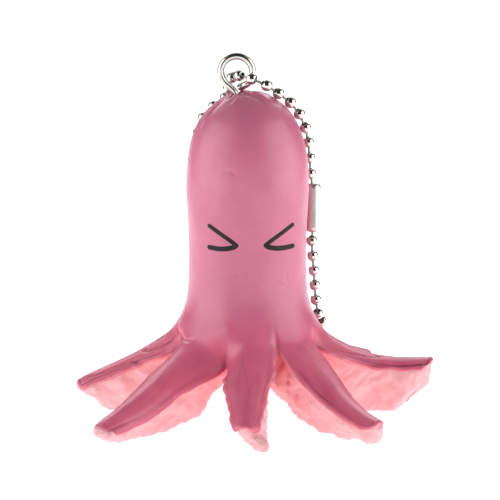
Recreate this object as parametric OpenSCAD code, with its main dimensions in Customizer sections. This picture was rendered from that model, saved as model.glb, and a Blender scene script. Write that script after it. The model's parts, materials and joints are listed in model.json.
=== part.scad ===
// Squeeze-foam octopus charm: a sausage-shaped foam body that splits into eight splayed legs,
// a screw eye anchored in its head, and a closed loop of ball chain with its connector.
// Millimetres. +Z up, -Y towards the face, origin on the table at the footprint's centre.

/* [Body] */
// Height of the dome's top above the table
body_h = 66.4; // [60:0.2:72]
// Radius of the tube at its widest
body_r = 12.5; // [12:0.1:12.5]
// Sideways place of the body's axis, from the footprint's centre
axis_x = -1.2; // [-2:0.1:2]
// Thickness of the tough outer skin on the foam
skin_t = 0.5; // [0.3:0.1:0.8]

/* [Legs] */
// Where a leg's ridge leaves the body: distance from the axis
root_rho = 16.3; // [16:0.1:17]
// Where a leg's ridge leaves the body: height
root_z = 16.8; // [16:0.1:18]
// Distance from the axis to the top of each slit between two legs
slit_rho = 15.5; // [15:0.1:16]
// Height of the hub where all the cut faces meet on the axis
hub_z = 14.5; // [13:0.5:15]
// Width of a leg beyond its root
leg_w = 9.6; // [8:0.1:10.5]
// Width of a leg's skin at its tip
tip_w = 6; // [4:0.1:8]
// How far a leg's edges lie below its ridge
crown = 1.5; // [0.8:0.1:2.5]
// Width of the flat foot along the bottom of a leg
foot_w = 2.4; // [1:0.1:3]

/* [Face] */
// Height of the inner points of the eyes
eye_z = 36.9; // [34:0.1:40]
// Sideways place of the face's middle, from the body's axis
face_x = 0.7; // [-1:0.1:1]
// Width of a printed stroke
stroke_w = 0.95; // [0.6:0.05:1.4]

/* [Screw eye] */
// Diameter of the wire
wire_d = 1.45; // [1.2:0.05:1.5]
// Radius of the ring, to the middle of the wire
ring_r = 3.2; // [3.2:0.05:3.5]
// Sideways place of the shank, from the body's axis
shank_x = -2.2; // [-3:0.1:0]
// Height of the ring's centre
ring_z = 70.3; // [70:0.1:71]
// Diameter of the anchor plug's barrel
plug_d = 5; // [4:0.1:6]

/* [Ball chain] */
// Outer diameter of a ball
ball_d = 2.4; // [2.3:0.05:2.4]
// Distance between two neighbouring balls
pitch = 3.35; // [3.35:0.05:3.35]
// Wall of a ball
ball_wall = 0.22; // [0.18:0.01:0.25]
// Diameter of a link pin's neck
pin_d = 0.5; // [0.4:0.02:0.5]
// Play between a link pin's neck and the edge of its hole, when it is tilted furthest
hole_play = 0.04; // [0.02:0.01:0.06]
// How far one fold of the chain's loop goes, in degrees
fold_range = 10; // [6:1:14]
// Distance between the two end balls held in the connector
connector_gap = 7.5; // [7.4:0.1:7.6]
// Length of the connector
connector_l = 10.2; // [10:0.1:10.4]
// Outer diameter of the connector
connector_d = 3.4; // [3.3:0.05:3.5]

/* [Hidden] */
// Legs in order of azimuth, from straight ahead and positive to the right:
// [azimuth, reach, tip height, tip slope in degrees, keel's sideways offset, bluntness of the keel's tip,
// depth of the foam's end face below the tip, how much further its right edge hangs down at its middle]
LEGS = [
    [-137, 34.2, 7.0, -15, 0, 2, 2.6, 0],
    [-91, 35.4, 6.2, -27, 0, 1.6, 1.7, 0],
    [-45.5, 40.6, 4.4, -20, 0, 2.5, 2.2, 2.4],
    [-0.5, 34.2, 5.8, -30, 2.8, 2, 5, 0],
    [41, 39.0, 5.4, -6, 0.6, 6, 2.3, 0],
    [90, 38.0, 11.2, 4, 0, 1.7, 5.2, 0],
    [138, 39.5, 6.0, -18, 0, 2.5, 3.4, 0],
    [180, 34.4, 6.0, -20, 0, 3, 3.6, 0]
];
// Slits, each after the leg with its index: [azimuth, height]
SLITS = [
    [-114, 14.8], [-65, 14.9], [-16, 12.6], [23, 16.6],
    [65, 15.4], [114, 15.0], [159, 15.0], [201.5, 15.0]
];
// The body's outline from the dome's top down: [share of body_r, share of body_h]
OUTLINE = [
    [0, 1], [0.2, 0.996], [0.4, 0.981], [0.59, 0.957], [0.75, 0.923], [0.872, 0.878],
    [0.952, 0.822], [0.992, 0.755], [1, 0.69], [0.976, 0.6], [0.96, 0.52],
    [0.968, 0.44], [0.992, 0.375], [1.05, 0.328], [1.16, 0.287]
];
// Places of the keel's stations along a leg, as shares of its reach; the foot lies flat between the two marked ones
KEEL = [0, 0.1, 0.22, 0.34, 0.46, 0.58, 0.68, 0.78, 0.9, 0.985];
FOOT_FROM = 0.64;
FOOT_TO = 0.78;
// Middle line of the chain's loop, from the ball in the ring down the right strand,
// behind the body over the rear legs' roots, and up the left strand; from the body's axis
ROUTE = [
    [-1.7, -0.1, 69.6], [1.0, -2.3, 69.1], [4.0, -1.8, 67.7], [6.4, -0.3, 65.9], [8.8, 0.9, 63.9],
    [10.7, 2.1, 61.3], [11.9, 3.1, 58.3], [12.5, 4.1, 55.2], [12.8, 4.6, 51.9], [13.0, 4.9, 48.5],
    [13.5, 5.0, 45.2], [13.5, 4.3, 37.7], [13.3, 4.9, 34.4], [13.8, 6.3, 27.9], [14.3, 7.8, 21.4],
    [14.8, 8.6, 18.2], [15.5, 11.3, 16.3], [14.8, 14.5, 15.9], [12.5, 16.7, 16.9], [6.1, 18.2, 18.0],
    [-0.5, 18.97, 17.7], [-6.8, 17.6, 17.0], [-9.5, 15.5, 17.1], [-11.4, 12.9, 18.1], [-11.9, 10.5, 20.4],
    [-11.3, 9.2, 23.4], [-10.2, 9.0, 30.0], [-10.3, 9.0, 36.7], [-10.4, 9.2, 43.4], [-10.4, 9.6, 50.1],
    [-10.2, 9.7, 56.8], [-9.1, 9.4, 59.9], [-6.9, 8.7, 62.4], [-4.5, 7.4, 64.3], [-3.9, 4.9, 66.4],
    [-3.1, 2.8, 68.9]
];
// Balls on the right strand from the ring to the connector, and from the connector to the bottom
UPPER_BALLS = 10;
LOWER_BALLS = 12;
LEFT_BALLS = 23;
BALL_COUNT = UPPER_BALLS + 1 + LEFT_BALLS + LOWER_BALLS;
// The chain's order runs from the ball at the connector's top, through the ring, to the one at its bottom.
// Each group of link pins moves as one piece: lists of the link numbers, link i joining ball i to ball i + 1
PIN_GROUPS = [
    [8, 9, 10, 11, 12, 13],
    [5, 6, 7, 14, 15, 16],
    [2, 3, 4, 17, 18, 19],
    [1, 45, 20, 21, 22, 23],
    [42, 43, 44, 24, 25, 26],
    [38, 39, 40, 41, 27, 28, 29, 30],
    [36, 37, 31, 32],
    [33, 34, 35]
];
PIN_NAMES = [for (g = [0:len(PIN_GROUPS) - 1]) str("link_pins_", g + 1)];

function two_digits(i) = i < 10 ? str("0", i) : str(i);
function ball_name(i) = str("ball_", two_digits(i));
BALL_NAMES = [for (i = [1:BALL_COUNT]) ball_name(i)];

// ---- Small helpers ----
function mix(a, b, t) = a * (1 - t) + b * t;
function ramp(t) = min(1, max(0, t));
function smooth(t) = let (c = ramp(t)) c * c * (3 - 2 * c);
function unit(v) = v / norm(v);
function polar(rho, az, z) = [rho * sin(az), -rho * cos(az), z];
// A point in a leg's own terms: out along its azimuth, sideways, up
function leg_point(k, rho, side, z) =
    let (az = LEGS[k][0]) [rho * sin(az) + side * cos(az), -rho * cos(az) + side * sin(az), z];

// ---- The body's and legs' outer surface ----
LEG_COUNT = len(LEGS);
ACROSS = 4;
TRUNK_ROWS = len(OUTLINE);
LEG_ROWS = len(KEEL) - 1;
COLUMNS = LEG_COUNT * ACROSS;
// Height below which the surface leans outwards, and how far its inner side then drops
FLARE_TOP = 24;
FLARE_DROP = 8;
DOME_CENTRE_Z = 54;

function before(k) = (k + LEG_COUNT - 1) % LEG_COUNT;
// A slit's azimuth as an angle from the leg on the given side (-1 before it, 1 after it)
function slit_turn(k, side) =
    let (a = SLITS[side > 0 ? k : before(k)][0] - LEGS[k][0]) a - 360 * round(a / 360);
function slit_height(k, side) = SLITS[side > 0 ? k : before(k)][1];

// u runs across a leg's share of the surface, from -1 to 1
function column_az(k, u) = LEGS[k][0] + abs(u) * slit_turn(k, sign(u));
function ring_point(row, k, u) =
    polar(OUTLINE[row][0] * body_r, column_az(k, u), OUTLINE[row][1] * body_h);
function slit_ring_point(k, u) =
    polar(mix(root_rho, slit_rho, u * u), column_az(k, u), mix(root_z, slit_height(k, sign(u)), u * u));

// A leg's ridge is a cubic curve from its root to its tip, as [distance out, height], leaving the body along
// ROOT_PULL and reaching the tip along the leg's slope from TIP_PULL behind it
ROOT_PULL = [6.4, -5.28];
TIP_PULL = 9;
function ridge(k, s) =
    let (reach = LEGS[k][1], tip = [reach, LEGS[k][2]], slope = LEGS[k][3],
         a = [root_rho, root_z], b = a + ROOT_PULL, c = tip - TIP_PULL * [cos(slope), sin(slope)])
    a * pow(1 - s, 3) + 3 * b * s * pow(1 - s, 2) + 3 * c * s * s * (1 - s) + tip * pow(s, 3);
// Share of the ridge at which a leg starts to narrow, and by which its edges have left the slits
TAPER_FROM = 0.1;
FREE_FROM = 0.4;
// How far a leg's edges stay behind its ridge
EDGE_BACK = 0.3;
function half_width(s) = mix(leg_w, tip_w, smooth((s - TAPER_FROM) / (1 - TAPER_FROM))) / 2;

// Extra drop of a leg's edge: full at the leg's middle, none at its root and tip
function hang(k, s, side) = side > 0 ? LEGS[k][7] * 4 * s * (1 - s) : 0;
// The edge of the skin at a station, as [out, sideways, up], starting from the slit's top
function leg_edge(k, s, side) =
    let (r = ridge(k, s), turn = slit_turn(k, side), grown = r - ridge(k, 0),
         start = [slit_rho * cos(turn) + grown[0], slit_rho * sin(turn), slit_height(k, side) + grown[1]],
         free = [r[0] - EDGE_BACK, side * half_width(s), r[1] - crown - hang(k, s, side)])
    mix(start, free, smooth(s / FREE_FROM));
function leg_surface(k, s, u) =
    let (r = ridge(k, s), e = leg_edge(k, s, sign(u)), c = u * u)
    leg_point(k, mix(r[0], e[0], c), e[1] * abs(u), mix(r[1], e[2], c));

// Every outer vertex has an inner one, towards a core line, one skin's thickness away
function inward(p, core) = p + skin_t * unit(core - p);
function trunk_core(p) = [0, 0, min(p[2], DOME_CENTRE_Z) - FLARE_DROP * ramp((FLARE_TOP - p[2]) / FLARE_DROP)];
// Stations over which a leg's parts grow out of the hub, and how far its core line lags behind the ridge
GROW_ROWS = 3;
CORE_BACK = 1;
function leg_core(k, i) =
    let (r = ridge(k, i / LEG_ROWS)) leg_point(k, r[0] * ramp(i / GROW_ROWS) - CORE_BACK, 0, r[1] - FLARE_DROP);

function u_at(q) = 2 * q / ACROSS - 1;
function wrap(col) = (col + COLUMNS) % COLUMNS;
TRUNK_OUTER = concat(
    [[0, 0, body_h]],
    [for (row = [1:TRUNK_ROWS]) for (col = [0:COLUMNS - 1])
        let (k = floor(col / ACROSS), u = u_at(col % ACROSS))
        row < TRUNK_ROWS ? ring_point(row, k, u) : slit_ring_point(k, u)]
);
TRUNK_INNER = [for (p = TRUNK_OUTER) inward(p, trunk_core(p))];
LEG_SKIN = ACROSS + 1;
LEGS_OUTER = [for (k = [0:LEG_COUNT - 1]) for (i = [1:LEG_ROWS]) for (q = [0:ACROSS])
    leg_surface(k, i / LEG_ROWS, u_at(q))];
LEGS_INNER = [for (k = [0:LEG_COUNT - 1]) for (i = [1:LEG_ROWS]) for (q = [0:ACROSS])
    inward(leg_surface(k, i / LEG_ROWS, u_at(q)), leg_core(k, i))];

// Numbers of the vertices in one side's list: the trunk's first, then the legs'
function trunk_at(row, col) = row == 0 ? 0 : 1 + (row - 1) * COLUMNS + wrap(col);
function surface_at(k, i, q) =
    i == 0 ? trunk_at(TRUNK_ROWS, k * ACROSS + q)
           : len(TRUNK_OUTER) + ((k * LEG_ROWS) + i - 1) * LEG_SKIN + q;
function quad(a, b, c, d) = [[a, b, c], [a, c, d]];
function sound(f) = f[0] != f[1] && f[1] != f[2] && f[2] != f[0];
function tidy(faces) = [for (f = faces) if (sound(f)) f];
function turned(faces) = [for (f = faces) [f[2], f[1], f[0]]];
function shifted(faces, by) = [for (f = faces) [for (v = f) v + by]];
SURFACE_FACES = tidy(concat(
    [for (row = [0:TRUNK_ROWS - 1]) for (col = [0:COLUMNS - 1])
        each quad(trunk_at(row, col), trunk_at(row, col + 1), trunk_at(row + 1, col + 1), trunk_at(row + 1, col))],
    [for (k = [0:LEG_COUNT - 1]) for (i = [0:LEG_ROWS - 1]) for (q = [0:ACROSS - 1])
        each quad(surface_at(k, i, q), surface_at(k, i, q + 1), surface_at(k, i + 1, q + 1), surface_at(k, i + 1, q))]
));

// ---- Skin: outer and inner surface, closed along the legs' edges and tips ----
SKIN_HALF = len(TRUNK_OUTER) + len(LEGS_OUTER);
function rim(a, b) = quad(a, a + SKIN_HALF, b + SKIN_HALF, b);
SKIN_POINTS = concat(TRUNK_OUTER, LEGS_OUTER, TRUNK_INNER, LEGS_INNER);
SKIN_FACES = concat(
    SURFACE_FACES,
    shifted(turned(SURFACE_FACES), SKIN_HALF),
    [for (k = [0:LEG_COUNT - 1]) for (i = [0:LEG_ROWS - 1])
        each concat(rim(surface_at(k, i + 1, 0), surface_at(k, i, 0)),
                    rim(surface_at(k, i, ACROSS), surface_at(k, i + 1, ACROSS)))],
    [for (k = [0:LEG_COUNT - 1]) for (q = [0:ACROSS - 1])
        each rim(surface_at(k, LEG_ROWS, q + 1), surface_at(k, LEG_ROWS, q))]
);

// ---- Foam: the skin's inner surface, the cut faces, the keels and the feet ----
function keel_height(k, share) =
    let (tip_rise = LEGS[k][2] - LEGS[k][6], past = ramp((share - FOOT_TO) / (KEEL[LEG_ROWS] - FOOT_TO)))
    share < FOOT_FROM ? hub_z * pow(1 - share / FOOT_FROM, 2) : tip_rise * pow(past, LEGS[k][5]);
function keel_point(k, i, side) =
    leg_point(k, KEEL[i] * LEGS[k][1], side * foot_w / 2 * ramp(i / GROW_ROWS) + LEGS[k][4] * smooth(KEEL[i]),
              keel_height(k, KEEL[i]));
HUB = [0, 0, hub_z];
CUT_BULGE = 0.5;
// Least depth of an end face that its middle point is worked out from
MIN_FACE = 3;
// Middle of a cut face, between the skin's inner edge and the keel
function cut_middle(k, i, side) =
    let (q = side > 0 ? ACROSS : 0, edge = LEGS_INNER[(k * LEG_ROWS + i - 1) * LEG_SKIN + q])
    mix(edge, keel_point(k, i, side), 0.5) + leg_point(k, 0, side * CUT_BULGE * ramp(i / GROW_ROWS), 0);
SLIT_MIDDLES = [for (k = [0:LEG_COUNT - 1]) mix(TRUNK_INNER[trunk_at(TRUNK_ROWS, (k + 1) * ACROSS)], HUB, 0.5)];
// Per leg and station: right middle, right keel, left keel, left middle
UNDER = 4;
LEG_UNDER = [for (k = [0:LEG_COUNT - 1]) for (i = [1:LEG_ROWS])
    each [cut_middle(k, i, 1), keel_point(k, i, 1), keel_point(k, i, -1), cut_middle(k, i, -1)]];
// Middle of a leg's end face, just behind the tip
TIP_BACK = 0.2;
TIP_MIDDLES = [for (k = [0:LEG_COUNT - 1])
    let (r = ridge(k, 1)) leg_point(k, r[0] - TIP_BACK, LEGS[k][4] / 2, r[1] - max(LEGS[k][6], MIN_FACE) / 2)];
HUB_AT = SKIN_HALF;
SLIT_AT = HUB_AT + 1;
UNDER_AT = SLIT_AT + LEG_COUNT;
TIP_AT = UNDER_AT + len(LEG_UNDER);
// The loop round a leg at a station: across the skin's inner side, then right, keel, left
LOOP = LEG_SKIN + UNDER;
function loop_at(k, i, q) =
    q < LEG_SKIN ? surface_at(k, i, q)
    : i > 0 ? UNDER_AT + ((k * LEG_ROWS) + i - 1) * UNDER + q - LEG_SKIN
    : q == LEG_SKIN ? SLIT_AT + k
    : q == LOOP - 1 ? SLIT_AT + before(k)
    : HUB_AT;
FOAM_POINTS = concat(TRUNK_INNER, LEGS_INNER, [HUB], SLIT_MIDDLES, LEG_UNDER, TIP_MIDDLES);
FOAM_FACES = concat(
    SURFACE_FACES,
    tidy([for (k = [0:LEG_COUNT - 1]) for (i = [0:LEG_ROWS - 1]) for (q = [ACROSS:LOOP - 1])
        let (r = (q + 1) % LOOP)
        each quad(loop_at(k, i, q), loop_at(k, i, r), loop_at(k, i + 1, r), loop_at(k, i + 1, q))]),
    [for (k = [0:LEG_COUNT - 1]) for (q = [0:LOOP - 1])
        [TIP_AT + k, loop_at(k, LEG_ROWS, q), loop_at(k, LEG_ROWS, (q + 1) % LOOP)]]
);

// ---- Screw eye and its anchor ----
NECK_Z = 66;
SHANK_END_Z = 53;
PLUG_TOP_Z = 63;
PLUG_BOTTOM_Z = 51;
// How far the plug's hole goes on below the shank's end
HOLE_PAST = 0.5;
SHANK_R = wire_d / 2;
THREAD_DEPTH = 0.25;
THREAD_R = SHANK_R + THREAD_DEPTH;
THREAD_PITCH = 1;
// Running room round the thread and the plug, so that the solids only meet
FIT = 0.02;
// Room round the wire where it comes through the skin
SKIN_ROOM = 0.55;
// Angle from straight down at which the ring's wire leaves the circle for the neck
TANGENT = acos(ring_r / (ring_z - NECK_Z));
$fn = 48;

module at_axis() { translate([axis_x, 0, 0]) children(); }
module at_shank() { translate([axis_x + shank_x, 0, 0]) children(); }

// The plug: a barrel with a flange at its bottom and a barb nearer its top
FLANGE_OUT = 1;
FLANGE_T = 1;
BARB_Z = PLUG_TOP_Z - 5;
BARB_T = 0.8;
BARB_RISE = 0.6;
BARB_FALL = 1.2;
module plug_solid(room = 0) {
    barrel = plug_d / 2 + room;
    flange = barrel + FLANGE_OUT;
    rotate_extrude() polygon([
        [0, PLUG_BOTTOM_Z - room], [flange, PLUG_BOTTOM_Z - room],
        [flange, PLUG_BOTTOM_Z + FLANGE_T + room], [barrel, PLUG_BOTTOM_Z + FLANGE_T + FLANGE_OUT + room],
        [barrel, BARB_Z - room], [flange, BARB_Z + BARB_RISE - room],
        [flange, BARB_Z + BARB_RISE + BARB_T + room], [barrel, BARB_Z + BARB_RISE + BARB_T + BARB_FALL + room],
        [barrel, PLUG_TOP_Z + room], [0, PLUG_TOP_Z + room]
    ]);
}

// The shank with its thread, as one turned shape, and a plain collar where the wire goes on
COLLAR_FROM = PLUG_TOP_Z - 1.6;
COLLAR_TO = PLUG_TOP_Z - 0.2;
COLLAR_RISE = 0.2;
module shank() {
    turns = floor((COLLAR_FROM - SHANK_END_Z) / THREAD_PITCH);
    rotate_extrude() polygon(concat(
        [[0, SHANK_END_Z], [SHANK_R, SHANK_END_Z]],
        [for (n = [0:turns - 1]) each [
            [SHANK_R, SHANK_END_Z + (n + 0.25) * THREAD_PITCH],
            [THREAD_R, SHANK_END_Z + (n + 0.5) * THREAD_PITCH],
            [SHANK_R, SHANK_END_Z + (n + 0.75) * THREAD_PITCH]]],
        [[SHANK_R, COLLAR_FROM], [THREAD_R, COLLAR_FROM + COLLAR_RISE], [THREAD_R, COLLAR_TO], [0, COLLAR_TO]]
    ));
}

// The wire's middle line: up the shank, round the ring, and back down to its end beside and behind the neck
BEND_REACH = 1.5;
RING_STEPS = 30;
BEND_STEPS = 6;
END_POINT = [0.75, 1.4, 67.1];
function ring_at(a) = [ring_r * sin(a), 0, ring_z - ring_r * cos(a)];
function bezier(a, b, c, t) = a * pow(1 - t, 2) + 2 * b * t * (1 - t) + c * t * t;
WIRE_PATH = let (neck = [0, 0, NECK_Z], left = ring_at(-TANGENT), right = ring_at(TANGENT),
                 from_neck = neck + BEND_REACH * unit(left - neck)) concat(
    [[0, 0, PLUG_TOP_Z - 1]],
    [for (n = [0:BEND_STEPS]) bezier(neck - [0, 0, BEND_REACH], neck, from_neck, n / BEND_STEPS)],
    [for (n = [0:RING_STEPS]) ring_at(-TANGENT - (360 - 2 * TANGENT) * n / RING_STEPS)],
    [for (n = [1:BEND_STEPS]) let (t = n / BEND_STEPS) mix(right, END_POINT, t) - [0, END_POINT[1] * (t - t * t), 0]]
);
WIRE_SIDES = 16;
function heading(path, i) = unit(path[min(i + 1, len(path) - 1)] - path[max(i - 1, 0)]);
module tube(path, r, sides) {
    last = len(path) - 1;
    points = [for (i = [0:last]) let (way = heading(path, i), across = unit(cross(way, [0, 1, 0])), up = cross(across, way))
        for (n = [0:sides - 1]) let (a = 360 * n / sides) path[i] + r * (cos(a) * across + sin(a) * up)];
    faces = concat(
        [for (i = [0:last - 1]) for (n = [0:sides - 1]) let (m = (n + 1) % sides)
            each quad(i * sides + n, i * sides + m, (i + 1) * sides + m, (i + 1) * sides + n)],
        [[for (n = [sides - 1:-1:0]) n], [for (n = [0:sides - 1]) last * sides + n]]
    );
    polyhedron(points, faces, convexity = 6);
}

module screw_eye() {
    color("silver") at_shank() {
        shank();
        tube(WIRE_PATH, SHANK_R, WIRE_SIDES);
    }
}

module anchor_plug() {
    color("whitesmoke") at_shank() difference() {
        plug_solid();
        translate([0, 0, SHANK_END_Z - HOLE_PAST]) cylinder(h = PLUG_TOP_Z, r = THREAD_R + FIT);
    }
}

module foam_core() {
    color("lightsalmon") difference() {
        at_axis() polyhedron(FOAM_POINTS, FOAM_FACES, convexity = 10);
        at_shank() plug_solid(FIT);
        at_shank() translate([0, 0, PLUG_TOP_Z]) cylinder(h = body_h, r = SHANK_R + FIT);
    }
}

module skin() {
    color("palevioletred") difference() {
        at_axis() polyhedron(SKIN_POINTS, SKIN_FACES, convexity = 10);
        at_shank() translate([0, 0, PLUG_TOP_Z]) cylinder(h = body_h, r = SHANK_R + SKIN_ROOM);
    }
}

// ---- Printed eyes: thin ink strokes on the tube's front, pointing at each other ----
INK_T = 0.12;
// The ink lies just off the outline's widest row at the eyes' height
EYE_ROW = 9;
INK_R = body_r * OUTLINE[EYE_ROW][0] + FIT;
EYE_IN = 3;
EYE_OUT = 8.3;
EYE_UP = 3.4;
EYE_DOWN = 1.3;
module stroke(from, to) {
    hull() for (p = [from, to]) translate(p) circle(d = stroke_w, $fn = 16);
}
module eye_outline() {
    stroke([EYE_IN, 0], [EYE_OUT, EYE_UP]);
    stroke([EYE_IN, 0], [EYE_OUT, -EYE_DOWN]);
}
module eye_prints() {
    color("dimgray") at_axis() intersection() {
        translate([face_x, 0, eye_z]) rotate([90, 0, 0]) linear_extrude(body_r + 2) {
            eye_outline();
            mirror([1, 0]) eye_outline();
        }
        difference() {
            cylinder(h = body_h, r = INK_R + INK_T);
            cylinder(h = body_h, r = INK_R);
        }
    }
}

// ---- Ball chain ----
// A smooth closed curve through the route's points, t counting the points
function route_at(t) =
    let (n = len(ROUTE), w = t - n * floor(t / n), i = floor(w), f = w - i,
         a = ROUTE[(i + n - 1) % n], b = ROUTE[i], c = ROUTE[(i + 1) % n], d = ROUTE[(i + 2) % n])
    0.5 * (2 * b + (c - a) * f + (2 * a - 5 * b + 4 * c - d) * f * f + (3 * b - 3 * c + d - a) * pow(f, 3));
// The place along the curve a straight distance d from t, ahead or behind
function halved(p, low, high, d, left) =
    let (middle = (low + high) / 2)
    left == 0 ? middle
    : norm(route_at(middle) - p) < d ? halved(p, middle, high, d, left - 1)
    : halved(p, low, middle, d, left - 1);
// How far along the curve a step looks, in route points
STEP_REACH = 2.2;
CONNECTOR_REACH = 2.4;
HALVINGS = 24;
function step(t, d, way, reach) = halved(route_at(t), t, t + way * reach, d, HALVINGS);
function steps(t, count, way) =
    count == 0 ? [] : let (next = step(t, pitch, way, STEP_REACH)) concat([next], steps(next, count - 1, way));
UPPER_T = steps(0, UPPER_BALLS, 1);
UNDER_CONNECTOR_T = step(UPPER_T[UPPER_BALLS - 1], connector_gap, 1, CONNECTOR_REACH);
LOWER_T = concat([UNDER_CONNECTOR_T], steps(UNDER_CONNECTOR_T, LOWER_BALLS - 1, 1));
LEFT_T = steps(0, LEFT_BALLS, -1);
function reversed(list) = [for (i = [len(list) - 1:-1:0]) list[i]];
BALL_T = concat(reversed(UPPER_T), [0], LEFT_T, reversed(LOWER_T));
BALLS = [for (t = BALL_T) route_at(t) + [axis_x, 0, 0]];
function ball_at(i) = BALLS[i - 1];

// Draws its children with their Z axis along v
module along(v) {
    rotate([0, acos(v[2] / norm(v)), atan2(v[1], v[0])]) children();
}

// Balls that a fold of the loop turns about, one pair to each fold
FOLD_BALLS = [8, 14, 5, 17, 2, 20, 45, 24, 42, 27, 38, 31, 36, 33];
function is_end(i) = i == 1 || i == BALL_COUNT;
// The two links' directions at a ball, and the axis of its holes halfway between them
function link_way(i) = unit(ball_at(i + 1) - ball_at(i));
function hole_axis(i) = i == 1 ? link_way(1) : i == BALL_COUNT ? -link_way(BALL_COUNT - 1) : unit(link_way(i) + link_way(i - 1));
function rest_tilt(i) = is_end(i) ? 0 : acos(min(1, link_way(i) * link_way(i - 1))) / 2;
function most_tilt(i) = rest_tilt(i) + (len(search(i, FOLD_BALLS)) > 0 ? fold_range : 0);
function hole_r(i) = let (a = most_tilt(i)) ball_d / 2 * sin(a) + pin_d / 2 + hole_play;
module ball(i) {
    color("silver") translate(ball_at(i)) along(hole_axis(i)) difference() {
        sphere(d = ball_d);
        sphere(d = ball_d - 2 * ball_wall);
        translate([0, 0, is_end(i) ? 0 : -ball_d]) cylinder(h = is_end(i) ? ball_d : 2 * ball_d, r = hole_r(i));
    }
}

// A link pin: a wire with a flat head inside each of its two balls
HEAD_R = 0.74;
HEAD_FROM = 0.4;
HEAD_TO = 0.6;
module link_pin(i) {
    from = ball_at(i);
    way = ball_at(i + 1) - from;
    l = norm(way);
    translate(from) along(way) rotate_extrude($fn = 24) polygon([
        [0, HEAD_FROM], [HEAD_R, HEAD_FROM], [HEAD_R, HEAD_TO], [pin_d / 2, HEAD_TO],
        [pin_d / 2, l - HEAD_TO], [HEAD_R, l - HEAD_TO], [HEAD_R, l - HEAD_FROM], [0, l - HEAD_FROM]
    ]);
}
module link_pins(group) {
    color("darkgray") for (i = PIN_GROUPS[group]) link_pin(i);
}

// The connector: a folded tube with a hole and a slot at each end, and two windows where the end balls snap in
CONNECTOR_WALL = 0.25;
SLOT_W = 0.9;
WINDOW_R = 1.3;
WINDOW_OUT = 1.43;
// Turn of the sleeve about its length at rest, which puts the slot at the rear
SLOT_TURN = 180;
END_HOLE_R = 0.6;
module connector() {
    top = ball_at(1);
    bottom = ball_at(BALL_COUNT);
    color("gainsboro") translate((top + bottom) / 2) along(top - bottom) rotate(SLOT_TURN) difference() {
        cylinder(h = connector_l, d = connector_d, center = true);
        cylinder(h = connector_l - 2 * CONNECTOR_WALL, d = connector_d - 2 * CONNECTOR_WALL, center = true);
        cylinder(h = connector_l + 1, r = END_HOLE_R, center = true);
        translate([-SLOT_W / 2, 0, -connector_l]) cube([SLOT_W, connector_d, 2 * connector_l]);
        for (side = [-1, 1]) translate([0, 0, side * WINDOW_OUT]) rotate([-90, 0, 0])
            cylinder(h = connector_d, r = WINDOW_R);
    }
}

foam_core();
skin();
eye_prints();
anchor_plug();
screw_eye();
connector();
for (g = [0:len(PIN_NAMES) - 1]) link_pins(g);
for (i = [1:BALL_COUNT]) ball(i);
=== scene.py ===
"""The looks of a foam octopus charm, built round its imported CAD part.

Shapes are worked out in millimetres from the body's axis (-Y towards the face) and become metres in the row
frame when they are made into meshes. Chain parts are placed from the CAD nodes that they stand for."""

import json
import math

import bpy
import numpy as np
from mathutils import Matrix, Vector, noise
from mathutils.bvhtree import BVHTree


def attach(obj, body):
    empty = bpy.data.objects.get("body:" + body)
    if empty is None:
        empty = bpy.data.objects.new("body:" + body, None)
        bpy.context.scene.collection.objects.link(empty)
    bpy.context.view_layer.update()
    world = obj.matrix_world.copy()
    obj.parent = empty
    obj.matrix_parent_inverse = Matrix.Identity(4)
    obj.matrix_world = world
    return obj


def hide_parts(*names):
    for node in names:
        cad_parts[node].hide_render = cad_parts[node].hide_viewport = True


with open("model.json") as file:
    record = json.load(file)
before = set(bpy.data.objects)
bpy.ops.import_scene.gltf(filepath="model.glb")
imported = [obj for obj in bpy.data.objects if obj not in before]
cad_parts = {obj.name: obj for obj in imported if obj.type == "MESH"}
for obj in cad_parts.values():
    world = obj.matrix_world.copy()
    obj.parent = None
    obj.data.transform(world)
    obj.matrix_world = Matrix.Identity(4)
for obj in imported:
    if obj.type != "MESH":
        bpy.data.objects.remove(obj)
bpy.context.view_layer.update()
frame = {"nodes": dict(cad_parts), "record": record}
NODE_BODY = {n: b for b, ns in frame["record"]["behaviour"]["bodies"].items() for n in ns}

MM = 0.001
AXIS_X = -1.2
SHIFT = np.array([AXIS_X, 0.0, 0.0])

# ---- The body, as in the CAD source ----
BODY_H = 66.4
BODY_R = 12.5
ROOT_RHO, ROOT_Z = 16.3, 16.8
SLIT_RHO = 15.5
HUB_Z = 14.5
LEG_W, TIP_W = 9.6, 6.0
CROWN = 1.5
FOOT_W = 2.4
# Azimuth from the front (+ to the right), reach, tip height, tip slope, keel's side offset,
# bluntness, end face, hang
LEGS = [
    (-137, 34.2, 7.0, -15, 0, 2, 2.6, 0),
    (-91, 35.4, 6.2, -27, 0, 1.6, 1.7, 0),
    (-45.5, 40.6, 4.4, -20, 0, 2.5, 2.2, 2.4),
    (-0.5, 34.2, 5.8, -30, 2.8, 2, 5, 0),
    (41, 39.0, 5.4, -6, 0.6, 6, 2.3, 0),
    (90, 38.0, 11.2, 4, 0, 1.7, 5.2, 0),
    (138, 39.5, 6.0, -18, 0, 2.5, 3.4, 0),
    (180, 34.4, 6.0, -20, 0, 3, 3.6, 0),
]
# Azimuth and height of the slit after each leg
SLITS = [
    (-114, 14.8), (-65, 14.9), (-16, 12.6), (23, 16.6),
    (65, 15.4), (114, 15.0), (159, 15.0), (201.5, 15.0),
]
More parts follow.
